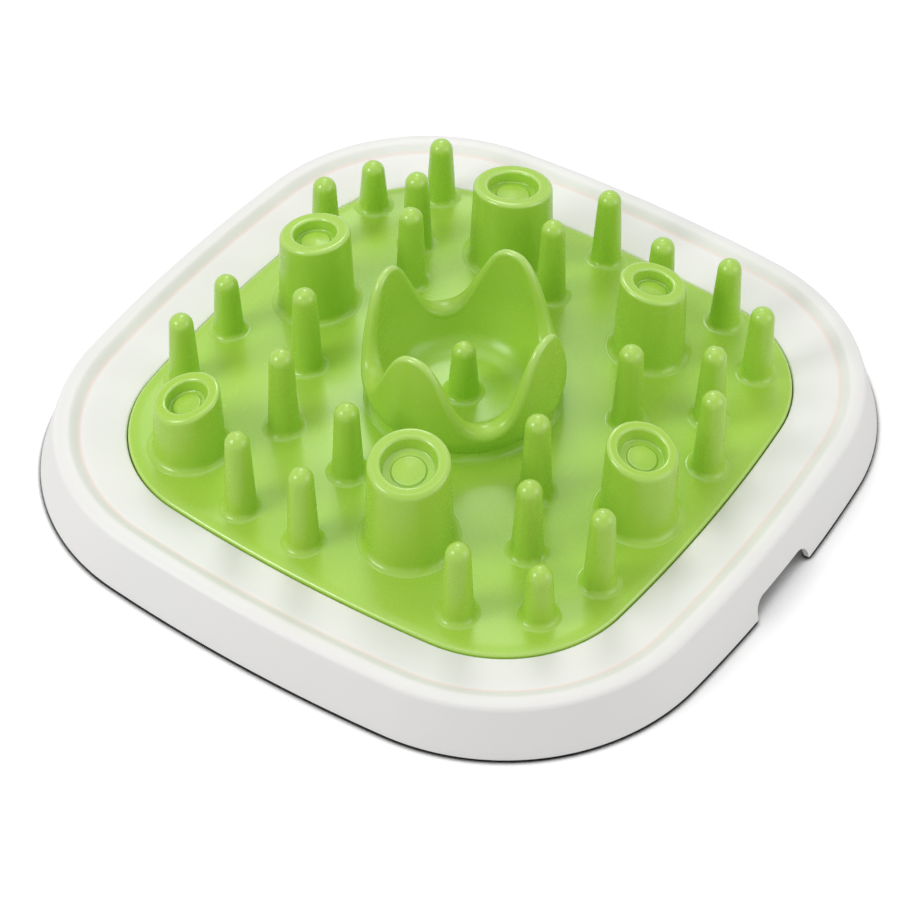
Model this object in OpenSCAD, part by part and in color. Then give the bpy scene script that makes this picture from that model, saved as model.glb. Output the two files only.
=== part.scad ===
// Slow feeder bowl: a low white base on four rubber feet, and a green insert that lifts out of it.
// The insert is one moulding: a domed plate with spikes, stumps and a crown round a small cup.
// Origin: bottom centre. +Z is up, and a finger notch is cut in the +X and the -X side.

/* [Base] */
// Length of each side of the base at the foot of its skirt
side = 300; // [290:5:330]
// Height of the base above the surface that it stands on
base_h = 22.4; // [20:0.2:26]
// Radius of the base's corners
corner_r = 92; // [84:2:100]
// Radius of the slow curve along each side
side_r = 708; // [620:4:900]
// How far the skirt leans in between its foot and its top
skirt_lean = 6.3; // [4:0.1:8]
// Thickness of the base's shell
base_wall = 2.4; // [1.8:0.1:2.8]
// Colour of the base
base_colour = "#f0efeb";

/* [Lip and flange] */
// Width of the lip's top, from its outer edge to its inner slope
lip_w = 5.7; // [4:0.1:8]
// Width of the lip's inner slope
slope_w = 3.5; // [2.5:0.1:5]
// Height of the lip above the flange
lip_h = 2.4; // [1:0.1:4]
// Radius of the lip's outer edge
lip_round = 2.5; // [1.5:0.1:3]
// Width of the flange between the lip and the opening
flange_w = 19.9; // [18:0.1:22]
// How far the flange falls on its way to the opening
flange_fall = 3; // [1:0.1:4]
// Radius of the flange's edge at the opening
flange_round = 1; // [0.5:0.1:1.5]
// Width of the ledge that carries the insert
ledge_w = 7.4; // [5:0.1:10]
// Depth of the ledge below the flange's edge
ledge_depth = 4.4; // [3.5:0.1:5.5]

/* [Finger notches] */
// Width of each notch at the foot of the skirt
notch_w = 38.5; // [25:0.5:60]
// Height of each notch above the foot of the skirt
notch_h = 7.5; // [7:0.1:10]
// Radius of each notch's upper corners
notch_round = 6.5; // [2:0.1:6.9]

/* [Feet] */
// Radius of each rubber foot
foot_r = 7; // [5:0.5:8]
// Height of the skirt above the surface that the feet stand on
foot_stand = 1; // [0.6:0.1:2]
// Thickness of each foot's pad
foot_t = 2.5; // [2.2:0.1:4]
// Radius of each foot's rounded lower edge
foot_round = 0.8; // [0.3:0.1:1.2]
// Radius of the spigot on each foot
spigot_r = 3.5; // [2.5:0.1:4.5]
// Length of the spigot on each foot
spigot_h = 5; // [3:0.5:7]
// Gap round each spigot in its socket
spigot_gap = 0.1; // [0.05:0.05:0.3]
// Wall of the boss round each socket
boss_wall = 4; // [2:0.1:4.5]
// Distance of each foot's centre from the outline of the skirt's foot
foot_inset = 23; // [21:0.5:24]
// Colour of the feet
foot_colour = "#6e706e";

/* [Insert] */
// Gap all round between the insert and the base
insert_gap = 0.5; // [0.3:0.1:1]
// Height of the plate's edge above the ledge
rim_h = 5.8; // [5:0.1:8]
// Thickness of the rim under the plate's edge
rim_wall = 2.4; // [1.8:0.1:3]
// Thickness of the plate
plate_t = 2.4; // [1.8:0.1:3]
// Radius of the plate's upper edge
plate_round = 1.2; // [0.5:0.1:1.7]
// How far the dome rises above the plate's edge
dome_h = 5.5; // [3:0.1:7]
// Width of the flat border outside the dome at the middle of each side
dome_margin = 2.1; // [2:0.1:6]
// Colour of the insert
insert_colour = "#9ccb58";

/* [Spikes] */
// Height above the plate that the spikes' heights are shares of
spike_h = 40; // [32:1:44]
// Radius of each spike's round tip
spike_tip_r = 4.8; // [4:0.1:5.5]
// Radius of each spike above its fillet
spike_foot_r = 6.5; // [6:0.1:7]
// Fillet round the foot of each spike
spike_fillet = 1.5; // [0.5:0.1:2]
// Wall of each hollow spike
spike_wall = 2.2; // [1.6:0.1:2.6]
// Height of the spike in the middle of the cup
centre_h = 26; // [18:1:30]

/* [Stumps] */
// Height above the plate that the stumps' heights are shares of
stump_h = 40; // [34:1:44]
// Radius of the top that the stumps' radii are shares of
stump_r = 15; // [13:0.5:16]
// How much wider each stump is above its fillet than at its top
stump_draft = 1.4; // [0.5:0.1:2]
// Fillet round the foot of each stump
stump_fillet = 1.5; // [0.5:0.1:2]
// Wall of each hollow stump
stump_wall = 2.4; // [1.6:0.1:3]
// Width that the rings on the stumps are shares of
ring_w = 5.2; // [4.2:0.1:6]
// Radius of the ring's two edges
ring_round = 1.5; // [0.5:0.1:1.7]
// Depth of the dish inside the ring
dish_depth = 3.4; // [2:0.1:5]
// Width of the dish's sloping side
dish_slope = 2.6; // [1:0.1:4]
// How far the dish's floor swells up in the middle
dish_swell = 1.4; // [0.5:0.1:1.8]

/* [Crown] */
// Number of petals
petals = 4; // [3:1:5]
// Height of the petals' tips above the cup's floor
crown_h = 47; // [40:1:52]
// Height of the valleys between the petals above the cup's floor
valley_h = 15; // [13:0.5:22]
// Radius of the crown at its foot, above its fillet
crown_foot_r = 37.2; // [35:0.1:38]
// Radius of the crown at its belly
belly_r = 40.7; // [39:0.1:42]
// Height of the belly above the cup's floor
belly_h = 12; // [10:0.5:24]
// Radius of the crown at the petals' tips
crown_tip_r = 37.8; // [37:0.1:39]
// Thickness of the petals at their tips
petal_t = 3.2; // [2:0.1:3.4]
// Fillet round the foot of the crown
crown_fillet = 1.8; // [0.5:0.1:2.5]
// Wall of the hollow foot of the crown
crown_wall = 2.4; // [1.8:0.1:3]
// Thickness of the crown over its hollow foot, in the middle of each valley
groove_roof = 3.4; // [3:0.1:4]
// Radius of the cup's flat floor
cup_floor_r = 17.5; // [14:0.5:18]
// Radius of the fillet between the cup's floor and its side
cup_fillet = 12.5; // [11:0.5:13]
// Angle that the cup's fillet turns through
cup_turn = 65; // [60:1:70]
// Height at which the cup reaches its full width
mouth_h = 26; // [22:1:34]
// How much flatter than a plain wave the petals' tops and the valleys are
crest_flat = 0.07; // [0:0.01:0.1]
// Angle by which the crown is turned on the plate
crown_turn = 2; // [-10:1:10]

/* [Hidden] */
// Overrun of every cut
over = 1;
// Depth that each post's section runs below the plate before it is cut off there
root = 3;
// Angle at which a post's fillet meets the plate, from the post's axis
fillet_turn = 60;
// How far the swept sections of the corners are set back from those of the sides
seam = 0.03;
// Width of the plate's swept edge, round the field that is drawn flat
edge_w = 3;
// Steps in a round edge, in an easy curve, and along a side and round a corner of the plate's field
edge_steps = 5;
curve_steps = 16;
side_steps = 4;
corner_steps = 6;
$fn = 64;
long_fn = 360;

// Places of the spikes on the plate: angle, distance as a share of the plate's half width,
// and height as a share of spike_h
spike_shares = [
    [156, 0.96, 0.90],
    [142, 1.095, 0.59],
    [136, 0.83, 0.95],
    [128.5, 1.10, 0.765],
    [142, 0.62, 0.975],
    [93, 0.61, 0.99],
    [89, 0.915, 0.90],
    [68.5, 0.855, 0.915],
    [58, 1.03, 0.84],
    [42.5, 1.05, 0.875],
    [28.5, 0.86, 0.94],
    [13.5, 0.895, 0.99],
    [22, 0.58, 1.00],
    [331.5, 0.53, 1.025],
    [320.5, 0.755, 0.925],
    [332, 0.96, 0.965],
    [318, 1.025, 0.66],
    [303, 0.985, 0.925],
    [258, 0.545, 0.895],
    [266, 0.865, 0.97],
    [249, 0.915, 0.99],
    [228.5, 0.64, 1.02],
    [199.5, 0.57, 1.015],
    [191.5, 0.91, 0.72],
    [208.5, 0.985, 0.875],
];

// Places of the stumps: angle, distance as a share of the plate's half width, height as a share
// of stump_h, radius as a share of stump_r, the outward tilt of the top in degrees, and the
// ring's width as a share of ring_w
stump_shares = [
    [111, 0.775, 0.95, 1.085, 9.5, 1.13],
    [171, 0.725, 0.92, 0.96, 8.5, 1.15],
    [55, 0.705, 0.91, 0.90, 12.5, 1.2],
    [228, 0.97, 0.68, 0.88, 16.5, 0.9],
    [289, 0.695, 1.02, 1.055, 11, 1],
    [351.5, 0.80, 0.855, 0.925, 12.5, 0.83],
];

// Centres and angles of the arcs that make up the base's outline
half = side / 2;
side_c = half - side_r;
arc_gap = side_r - corner_r;
corner_c = (side_c + sqrt(2 * arc_gap * arc_gap - side_c * side_c)) / 2;
side_a = atan2(corner_c, corner_c - side_c);

// Levels of the base, and places across its section as distances in from the skirt's foot
skirt_a = atan2(skirt_lean, base_h - foot_stand);
slope_in = skirt_lean + lip_w;
flange_in = slope_in + slope_w;
opening_in = flange_in + flange_w;
flange_z = base_h - lip_h;
opening_z = flange_z - flange_fall;
ledge_z = opening_z - ledge_depth;
foot_place = corner_c + (corner_r - foot_inset) * cos(45);

// Sizes of the plate and of the sphere that its dome is cut from
plate_in = opening_in + insert_gap;
plate_half = half - plate_in;
plate_z = ledge_z + rim_h;
field_in = plate_in + edge_w;
dome_foot_r = plate_half - dome_margin;
dome_r = (dome_foot_r * dome_foot_r + dome_h * dome_h) / (2 * dome_h);
dome_z = plate_z + dome_h - dome_r;
cup_z = plate_z + dome_h;

// Sizes of the crown and its cup
mouth_r = crown_tip_r - petal_t;
turn_r = cup_floor_r + cup_fillet * sin(cup_turn);
turn_h = cup_fillet * (1 - cos(cup_turn));
groove_h = valley_h - groove_roof;

FEET = [for (i = [1:4]) str("foot_", i)];
STUMPS = [for (i = [1:len(stump_shares)]) str("stump_", i)];
SPIKES = [for (i = [1:len(spike_shares)]) str(i < 10 ? "spike_0" : "spike_", i)];

// Points of an arc about c from angle a to angle b
function arc(c, r, a, b) =
    [for (i = [0:edge_steps]) let (t = a + (b - a) * i / edge_steps) c + r * [cos(t), sin(t)]];

// Easy step from 0 to 1
function ease(t) = (1 - cos(180 * t)) / 2;

// Places on the plate and its height there
function place(share) = plate_half * share[1] * [cos(share[0]), sin(share[0])];
function plate_top(r) = r < dome_foot_r ? dome_z + sqrt(dome_r * dome_r - r * r) : plate_z;
function seat(share) = concat(place(share), [plate_top(plate_half * share[1])]);

// Section of the base: distance in from the skirt's foot, and height
function base_section() = concat(
    [[0, foot_stand]],
    arc([skirt_lean + lip_round, base_h - lip_round], lip_round, 180 - skirt_a, 90),
    [for (i = [0:edge_steps]) [slope_in + slope_w * i / edge_steps, base_h - lip_h * ease(i / edge_steps)]],
    arc([opening_in - flange_round, opening_z - flange_round], flange_round, 90, 0),
    [
        [opening_in, ledge_z],
        [opening_in + ledge_w, ledge_z],
        [opening_in + ledge_w, ledge_z - base_wall],
        [opening_in - base_wall, ledge_z - base_wall],
        [opening_in - base_wall, opening_z - base_wall],
        [flange_in, flange_z - base_wall],
        [slope_in, base_h - base_wall],
        [skirt_lean + base_wall, base_h - base_wall],
        [base_wall, foot_stand],
    ]
);

// Section of the space under the middle of the flange's thickness, where the feet's bosses stand
function boss_section() = [
    [skirt_lean + base_wall, foot_t],
    [skirt_lean + base_wall, base_h - base_wall / 2],
    [slope_in, base_h - base_wall / 2],
    [flange_in, flange_z - base_wall / 2],
    [opening_in - base_wall / 2, opening_z - base_wall / 2],
    [opening_in - base_wall / 2, foot_t],
];

// Section of the plate's edge, with its rounded upper corner and its sides set back by s
function edge_section(s) = concat(
    [[plate_in + s, plate_z - plate_t]],
    arc([plate_in + plate_round + s, plate_z - plate_round], plate_round, 180, 90),
    [[field_in - s, plate_z], [field_in - s, plate_z - plate_t]]
);

// Section of the rim under the plate's edge
function rim_section() = [
    [plate_in, ledge_z],
    [plate_in, plate_z - plate_t],
    [plate_in + rim_wall, plate_z - plate_t],
    [plate_in + rim_wall, ledge_z],
];

// Section of a hollow spike: round tip, slight draft, fillet, and a core that follows the outside
function spike_section(h) =
    let (draft = atan2(spike_foot_r - spike_tip_r, h - spike_tip_r - spike_fillet))
    concat(
        foot_section(spike_foot_r, spike_fillet),
        arc([0, h - spike_tip_r], spike_tip_r, draft, 90),
        arc([0, h - spike_tip_r], spike_tip_r - spike_wall, 90, draft),
        [[spike_foot_r - spike_wall, -root]]
    );

// Start of a post's section: from below the plate up the fillet to the post's side
function foot_section(r, fillet) = concat(
    [[r + fillet * (1 - cos(fillet_turn)) + root * tan(fillet_turn), fillet * (1 - sin(fillet_turn)) - root]],
    arc([r + fillet, fillet], fillet, 180 + fillet_turn, 180)
);

// Radius of the crown's outside at a height above the cup's floor
function crown_side(h) = h < belly_h
    ? crown_foot_r + (belly_r - crown_foot_r) * ease(h / belly_h)
    : belly_r - (belly_r - crown_tip_r) * (1 - cos(90 * (h - belly_h) / (crown_h - belly_h)));

// Radius of the cup at a height above its fillet
function cup_side(h) = turn_r + (mouth_r - turn_r) * sin(90 * min(1, (h - turn_h) / (mouth_h - turn_h)));

// Height of the crown's wavy rim above the cup's floor, at an angle from the middle of a valley
function rim_height(a) =
    let (wave = (cos(petals * a) - crest_flat * cos(3 * petals * a)) / (1 - crest_flat))
    (crown_h + valley_h) / 2 - (crown_h - valley_h) / 2 * wave;

// Section of the crown: outside from foot to tip, down into the cup and round the hollow under it
function crown_section() = concat(
    [
        [crown_foot_r - crown_wall, plate_top(crown_foot_r - crown_wall) - cup_z],
        [crown_foot_r + crown_fillet, plate_top(crown_foot_r + crown_fillet) - cup_z],
    ],
    arc([crown_foot_r + crown_fillet, crown_fillet], crown_fillet, 180 + fillet_turn, 180),
    [for (i = [1:curve_steps])
        let (h = crown_fillet + (crown_h - crown_fillet) * i / curve_steps) [crown_side(h), h]],
    [for (i = [0:curve_steps])
        let (h = crown_h + (turn_h - crown_h) * i / curve_steps) [cup_side(h), h]],
    arc([cup_floor_r, cup_fillet], cup_fillet, cup_turn - 90, -90),
    [[0, 0], [0, -plate_t], [cup_floor_r, -plate_t]],
    arc([cup_floor_r, cup_fillet], cup_fillet + crown_wall, -90, cup_turn - 90),
    [[cup_side(groove_h) + crown_wall, groove_h]],
    [for (i = [edge_steps:-1:0]) let (h = groove_h * i / edge_steps) [crown_side(h) - crown_wall, h]]
);

// Carries a section round the base's outline: four side arcs, and four corner arcs whose section
// is set back by seam and ends inside the side arcs, so that they join in one solid
module swept(section, corner_section) {
    lap = atan2(over, corner_r);
    for (turn = [0:90:270])
        rotate(turn) {
            translate([side_c, 0, 0])
                rotate(-side_a)
                    rotate_extrude(angle = 2 * side_a, $fn = long_fn)
                        polygon([for (p = section) [side_r - p.x, p.y]]);
            corner(corner_section, side_a - lap, 90 - side_a + lap);
        }
}

// Carries a section round part of one corner
module corner(section, a, b) {
    translate([corner_c, corner_c, 0])
        rotate(a)
            rotate_extrude(angle = b - a, $fn = long_fn)
                polygon([for (p = section) [corner_r - p.x, p.y]]);
}

// A clockwise section with every side moved inwards by seam
function set_back(section) =
    let (n = len(section))
    [for (i = [0:n - 1])
        let (a = inward(section[(i + n - 1) % n], section[i]), b = inward(section[i], section[(i + 1) % n]))
        section[i] + seam * (a + b) / (1 + a * b)];

// Unit vector square to a side of a clockwise section, pointing into it
function inward(p, q) = [q.y - p.y, p.x - q.x] / norm(q - p);

// Everything under the plate's upper face
module below_plate() {
    translate([0, 0, plate_z - plate_t - root - dome_h])
        cylinder(r = half, h = plate_t + root + dome_h);
    dome(dome_r);
}

// A sphere about the dome's centre, turned so that its poles lie far from the plate
module dome(r) {
    translate([0, 0, dome_z])
        rotate([90, 0, 0])
            sphere(r = r, $fn = long_fn);
}

// Shape of a finger notch, standing on the foot of the skirt
module notch_shape() {
    translate([-notch_w / 2, -over])
        square([notch_w, over + notch_h - notch_round]);
    translate([notch_round - notch_w / 2, -over])
        square([notch_w - 2 * notch_round, over + notch_h]);
    for (s = [-1, 1])
        translate([s * (notch_w / 2 - notch_round), notch_h - notch_round])
            circle(r = notch_round);
}

module base_frame() {
    boss_r = spigot_r + spigot_gap + boss_wall;
    notch_reach = skirt_lean + base_wall + over;
    color(base_colour)
        difference() {
            union() {
                swept(base_section(), set_back(base_section()));
                for (turn = [0:90:270])
                    rotate(turn)
                        intersection() {
                            translate([foot_place, foot_place, foot_t])
                                cylinder(r = boss_r, h = base_h);
                            corner(boss_section(), side_a, 90 - side_a);
                        }
            }
            for (turn = [0:90:270])
                rotate(turn)
                    translate([foot_place, foot_place, foot_t - over])
                        cylinder(r = spigot_r + spigot_gap, h = spigot_h + spigot_gap + over);
            for (turn = [0, 180])
                rotate(turn)
                    translate([half - notch_reach, 0, foot_stand])
                        rotate([90, 0, 90])
                            linear_extrude(height = notch_reach + over)
                                notch_shape();
        }
}

// A rubber foot: a pad with a rounded lower edge, and a spigot that holds it in its boss
module foot(i) {
    color(foot_colour)
        rotate(90 * i)
            translate([foot_place, foot_place, 0])
                rotate_extrude()
                    polygon(concat(
                        [[0, 0]],
                        arc([foot_r - foot_round, foot_round], foot_round, -90, 0),
                        [[foot_r, foot_t], [spigot_r, foot_t]],
                        [[spigot_r, foot_t + spigot_h], [0, foot_t + spigot_h]]
                    ));
}

// The domed plate, open under each hollow post and under the crown
module insert_plate() {
    color(insert_colour)
        difference() {
            union() {
                swept(edge_section(0), edge_section(seam));
                translate([0, 0, plate_z - plate_t])
                    linear_extrude(height = plate_t)
                        polygon(field_outline());
                intersection() {
                    translate([0, 0, plate_z - plate_t])
                        cylinder(r = dome_foot_r + dome_margin / 4, h = plate_t + dome_h + over);
                    dome(dome_r);
                }
            }
            intersection() {
                translate([0, 0, plate_z - plate_t - over])
                    cylinder(r = dome_foot_r, h = plate_t + dome_h);
                dome(dome_r - plate_t);
            }
            plate_hole([0, 0], crown_foot_r - crown_wall);
            for (share = spike_shares)
                plate_hole(place(share), spike_foot_r - spike_wall);
            for (share = stump_shares)
                plate_hole(place(share), stump_foot_r(share) - stump_wall);
        }
}

module plate_hole(p, r) {
    translate([p.x, p.y, plate_z - plate_t - over])
        cylinder(r = r, h = plate_t + dome_h + 2 * over);
}

// Outline of the plate's field, which ends in the middle of the swept edge
function field_outline() =
    let (middle = (plate_in + field_in) / 2)
    [for (turn = [0:90:270]) for (p = concat(
        run([side_c, 0], side_r - middle, -side_a, side_a, side_steps),
        run([corner_c, corner_c], corner_r - middle, side_a, 90 - side_a, corner_steps)
    ))
        [p.x * cos(turn) - p.y * sin(turn), p.x * sin(turn) + p.y * cos(turn)]];

// Points of an arc about c, all but its last
function run(c, r, a, b, steps) =
    [for (i = [0:steps - 1]) let (t = a + (b - a) * i / steps) c + r * [cos(t), sin(t)]];

// The wall under the plate's edge, which stands on the base's ledge
module insert_rim() {
    color(insert_colour)
        swept(rim_section(), set_back(rim_section()));
}

// The crown: a hollow-footed wall cut into petals round the cup
module crown() {
    color(insert_colour)
        translate([0, 0, cup_z])
            difference() {
                rotate_extrude()
                    polygon(crown_section());
                for (i = [0:petals - 1])
                    rotate(crown_turn + 360 * (i + 0.5) / petals)
                        rotate([90, 0, 90])
                            linear_extrude(height = belly_r + over)
                                polygon(valley_outline());
                translate([0, 0, -plate_t - over])
                    cylinder(r = spike_foot_r - spike_wall, h = plate_t + 2 * over);
            }
}

// Outline of what is cut away above one valley, seen along its middle
function valley_outline() =
    let (reach = 180 / petals, w = crown_tip_r * sin(reach))
    concat(
        [for (i = [-curve_steps:curve_steps])
            let (a = reach * i / curve_steps) [crown_tip_r * sin(a), rim_height(a)]],
        [[w, crown_h + over], [-w, crown_h + over]]
    );

// The spike on the cup's floor
module centre_spike() {
    color(insert_colour)
        translate([0, 0, cup_z])
            difference() {
                rotate_extrude()
                    polygon(spike_section(centre_h));
                translate([0, 0, -root - over])
                    cylinder(r = cup_floor_r, h = root + over);
            }
}

module spike(share) {
    color(insert_colour)
        difference() {
            translate(seat(share))
                rotate_extrude()
                    polygon(spike_section(spike_h * share[2]));
            below_plate();
        }
}

// Radii of a stump's top and of its side above the fillet
function stump_top_r(share) = stump_r * share[3];
function stump_foot_r(share) = stump_top_r(share) + stump_draft;

// Moves to the middle of a stump's top and leans it outwards
module stump_frame(share) {
    translate(seat(share) + [0, 0, stump_h * share[2]])
        rotate([0, share[4], share[0]])
            children();
}

// A stump: a drafted round post with a tilted top, a rounded ring on it and a dish in the ring
module stump(share) {
    top_r = stump_top_r(share);
    foot_r = stump_foot_r(share);
    h = stump_h * share[2];
    reach = top_r * tan(share[4]) + over;
    dish_r = top_r - ring_w * share[5];
    floor_r = dish_r - dish_slope;
    color(insert_colour)
        difference() {
            intersection() {
                translate(seat(share))
                    rotate_extrude()
                        polygon(concat(
                            foot_section(foot_r, stump_fillet),
                            [[top_r, h], [top_r, h + reach], [0, h + reach], [0, -root]]
                        ));
                stump_frame(share)
                    rotate_extrude()
                        polygon(concat(
                            [[0, 0]],
                            arc([top_r - ring_round, -ring_round], ring_round, 90, 0),
                            [[2 * top_r, -top_r - ring_round], [2 * top_r, -2 * h], [0, -2 * h]]
                        ));
            }
            intersection() {
                translate(seat(share))
                    rotate_extrude()
                        polygon([
                            [0, -root - over],
                            [foot_r - stump_wall, -root - over],
                            [foot_r - stump_wall, 0],
                            [top_r - stump_wall, h],
                            [0, h],
                        ]);
                stump_frame(share)
                    translate([0, 0, -dish_depth - stump_wall - 2 * h])
                        cylinder(r = 2 * top_r, h = 2 * h);
            }
            stump_frame(share)
                rotate_extrude()
                    polygon(concat(
                        [[0, over], [dish_r + ring_round, over]],
                        arc([dish_r + ring_round, -ring_round], ring_round, 90, 180),
                        [for (i = [0:edge_steps])
                            let (t = i / edge_steps)
                            [floor_r * cos(90 * t), dish_swell * sin(90 * t) - dish_depth]]
                    ));
            below_plate();
        }
}

base_frame();
for (i = [0:len(FEET) - 1]) foot(i);
insert_plate();
insert_rim();
crown();
centre_spike();
for (i = [0:len(STUMPS) - 1]) stump(stump_shares[i]);
for (i = [0:len(SPIKES) - 1]) spike(spike_shares[i]);
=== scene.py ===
"""Slow feeder bowl: the looks of its white base and of its green insert, in metres, with +Z up.

The base is one section carried round the bowl's outline. The insert is a domed plate with hollow posts
and a crown that stand on it in smooth fillets. Sizes and colours are in the property groups below."""

import math

import bpy
import numpy as np
from mathutils import Matrix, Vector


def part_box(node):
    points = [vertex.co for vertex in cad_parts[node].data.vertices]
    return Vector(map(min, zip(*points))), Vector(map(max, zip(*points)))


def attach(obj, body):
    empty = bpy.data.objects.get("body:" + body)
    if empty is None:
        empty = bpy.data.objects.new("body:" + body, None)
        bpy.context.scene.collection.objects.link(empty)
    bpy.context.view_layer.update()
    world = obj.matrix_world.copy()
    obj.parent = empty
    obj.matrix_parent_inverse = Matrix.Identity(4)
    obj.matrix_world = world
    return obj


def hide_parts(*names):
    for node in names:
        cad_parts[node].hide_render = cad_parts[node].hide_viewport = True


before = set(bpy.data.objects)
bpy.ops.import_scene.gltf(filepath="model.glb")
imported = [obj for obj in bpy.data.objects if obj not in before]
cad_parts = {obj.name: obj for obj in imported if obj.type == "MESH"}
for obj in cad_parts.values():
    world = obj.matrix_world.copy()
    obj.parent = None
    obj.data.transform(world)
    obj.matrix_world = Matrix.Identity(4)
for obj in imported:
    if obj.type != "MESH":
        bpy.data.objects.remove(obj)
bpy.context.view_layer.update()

bl_info = {
    "name": "Slow Feeder Bowl",
    "version": (1, 0, 0),
    "blender": (4, 5, 0),
    "location": "View3D > Sidebar > Bowl",
    "description": "Builds a white base and a green insert with spikes, stumps and a crown",
    "category": "Add Mesh",
}

MM = 0.001
SUNK = 0.02 * MM  # how far the outer end of a fillet lies below the face that it comes out of
ROOT = 0.3 * MM  # how far the cores of the posts run on below that face
TILT_ZONE = 8 * MM  # height up to which a post takes on the slope of the dome below it
CROWN_ROOT = 0.5 * MM  # how far the crown's hollow foot runs on below that face
CORE_ROUND = 1 * MM  # radius at the upper end of each stump's core
LEDGE_CORNER, LEDGE_ROUND = 0.3 * MM, 0.5 * MM  # radii of the ledge's inner corner and of its edges
INNER_ROUND, UNDER_ROUND = 1.5 * MM, 2 * MM  # radii of the shell's corners on the inside
RIM_BEYOND = 0.3 * MM  # how far inside the rim the plate's field ends
RIM_EDGE, RIM_CORNER = 0.4 * MM, 0.2 * MM  # radii of the rim's lower edges and of its inner corner
INSIDE_TOP = 0.8  # share of the skirt's height below which its inside is straight
PAD_TOP, SPIGOT_FOOT, SPIGOT_TOP = 0.15 * MM, 0.1 * MM, 0.4 * MM  # radii of the rubber feet's edges
CORE_END = 0.9  # how round the end of a spike's core is, as a share of the core's radius
FEET = sorted(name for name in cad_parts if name.startswith("foot_"))

base_low, base_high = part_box("base_frame")
plate_low, plate_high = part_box("insert_plate")
rim_low, rim_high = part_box("insert_rim")
CUP_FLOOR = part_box("crown")[1].z - 47 * MM

# The longest straight run in each section's line, which sets how fine the meshes are
BASE_RUN, NOTCH_RUN, FOOT_RUN, RIM_RUN = 2.2 * MM, 2 * MM, 1 * MM, 1.4 * MM
CORE_RUN, SPIKE_RUN, STUMP_RUN, CUP_RUN = 4 * MM, 1.8 * MM, 1.6 * MM, 2 * MM

# Stations on each side and corner of the outline, points round each form that turns about an axis, and
# rows of the plate's field
SIDE_STATIONS, CORNER_STATIONS = 64, 48
FOOT_COLUMNS, SPIKE_COLUMNS, CUP_SPIKE_COLUMNS = 48, 40, 48
STUMP_COLUMNS, CROWN_COLUMNS, FIELD_ROWS = 72, 240, 64

# Where the posts stand: the angle round the plate's middle, in degrees, and the distance from it as a
# share of the plate's half width
SPIKE_SPOTS = (
    *((156, 0.96), (142, 1.095), (136, 0.83), (128.5, 1.10), (142, 0.62)),
    *((93, 0.61), (89, 0.915), (68.5, 0.855), (58, 1.03), (42.5, 1.05)),
    *((28.5, 0.86), (13.5, 0.895), (22, 0.58), (331.5, 0.53), (320.5, 0.755)),
    *((332, 0.96), (318, 1.025), (303, 0.985), (258, 0.545), (266, 0.865)),
    *((249, 0.915), (228.5, 0.64), (199.5, 0.57), (191.5, 0.91), (208.5, 0.985)),
)
STUMP_SPOTS = ((111, 0.775), (171, 0.725), (55, 0.705), (228, 0.97), (289, 0.695), (351.5, 0.80))
SPIKES = {f"spike_{number:02}": spot for number, spot in enumerate(SPIKE_SPOTS, 1)}
STUMPS = {f"stump_{number}": spot for number, spot in enumerate(STUMP_SPOTS, 1)}

# Where each lamp stands, in metres to the camera's right, towards it and up, and how wide the lamp is
LAMPS = {
    "top": (-0.1, -0.15, 1.3, 0.9),
    "key": (-0.95, 0.4, 0.8, 0.5),
    "back": (-0.05, -0.89, 0.93, 0.38),
    "fill": (1, 0.35, 0.5, 0.8),
}
FLOOR_WIDTH = 3.0
FILM_WIDTH = 36  # of the camera, in millimetres


def length(name, description, default, lowest=0.0):
    """A length in metres that the user may change."""
    return bpy.props.FloatProperty(
        name=name, description=description, default=default, min=lowest, precision=5, unit="LENGTH"
    )


def angle(name, description, degrees):
    """An angle that the user may change."""
    return bpy.props.FloatProperty(
        name=name, description=description, default=math.radians(degrees), subtype="ANGLE"
    )


def share(name, description, default):
    """A number from 0 to 1 that the user may change."""
    return bpy.props.FloatProperty(
        name=name, description=description, default=default, min=0, max=1, subtype="FACTOR"
    )


def strength(name, description, default):
    """A number above zero that the user may change."""
    return bpy.props.FloatProperty(name=name, description=description, default=default, min=0)


def colour(name, description, default):
    """A colour that the user may change."""
    return bpy.props.FloatVectorProperty(
        name=name, description=description, default=default, min=0, max=1, subtype="COLOR"
    )


def each_stump(name, description, sizes, scale=MM, unit="LENGTH"):
    """A size of each stump, given in millimetres or in another unit of which scale is one."""
    default = tuple(scale * size for size in sizes)
    return bpy.props.FloatVectorProperty(
        name=name, description=description, size=len(sizes), default=default, unit=unit
    )


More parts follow.
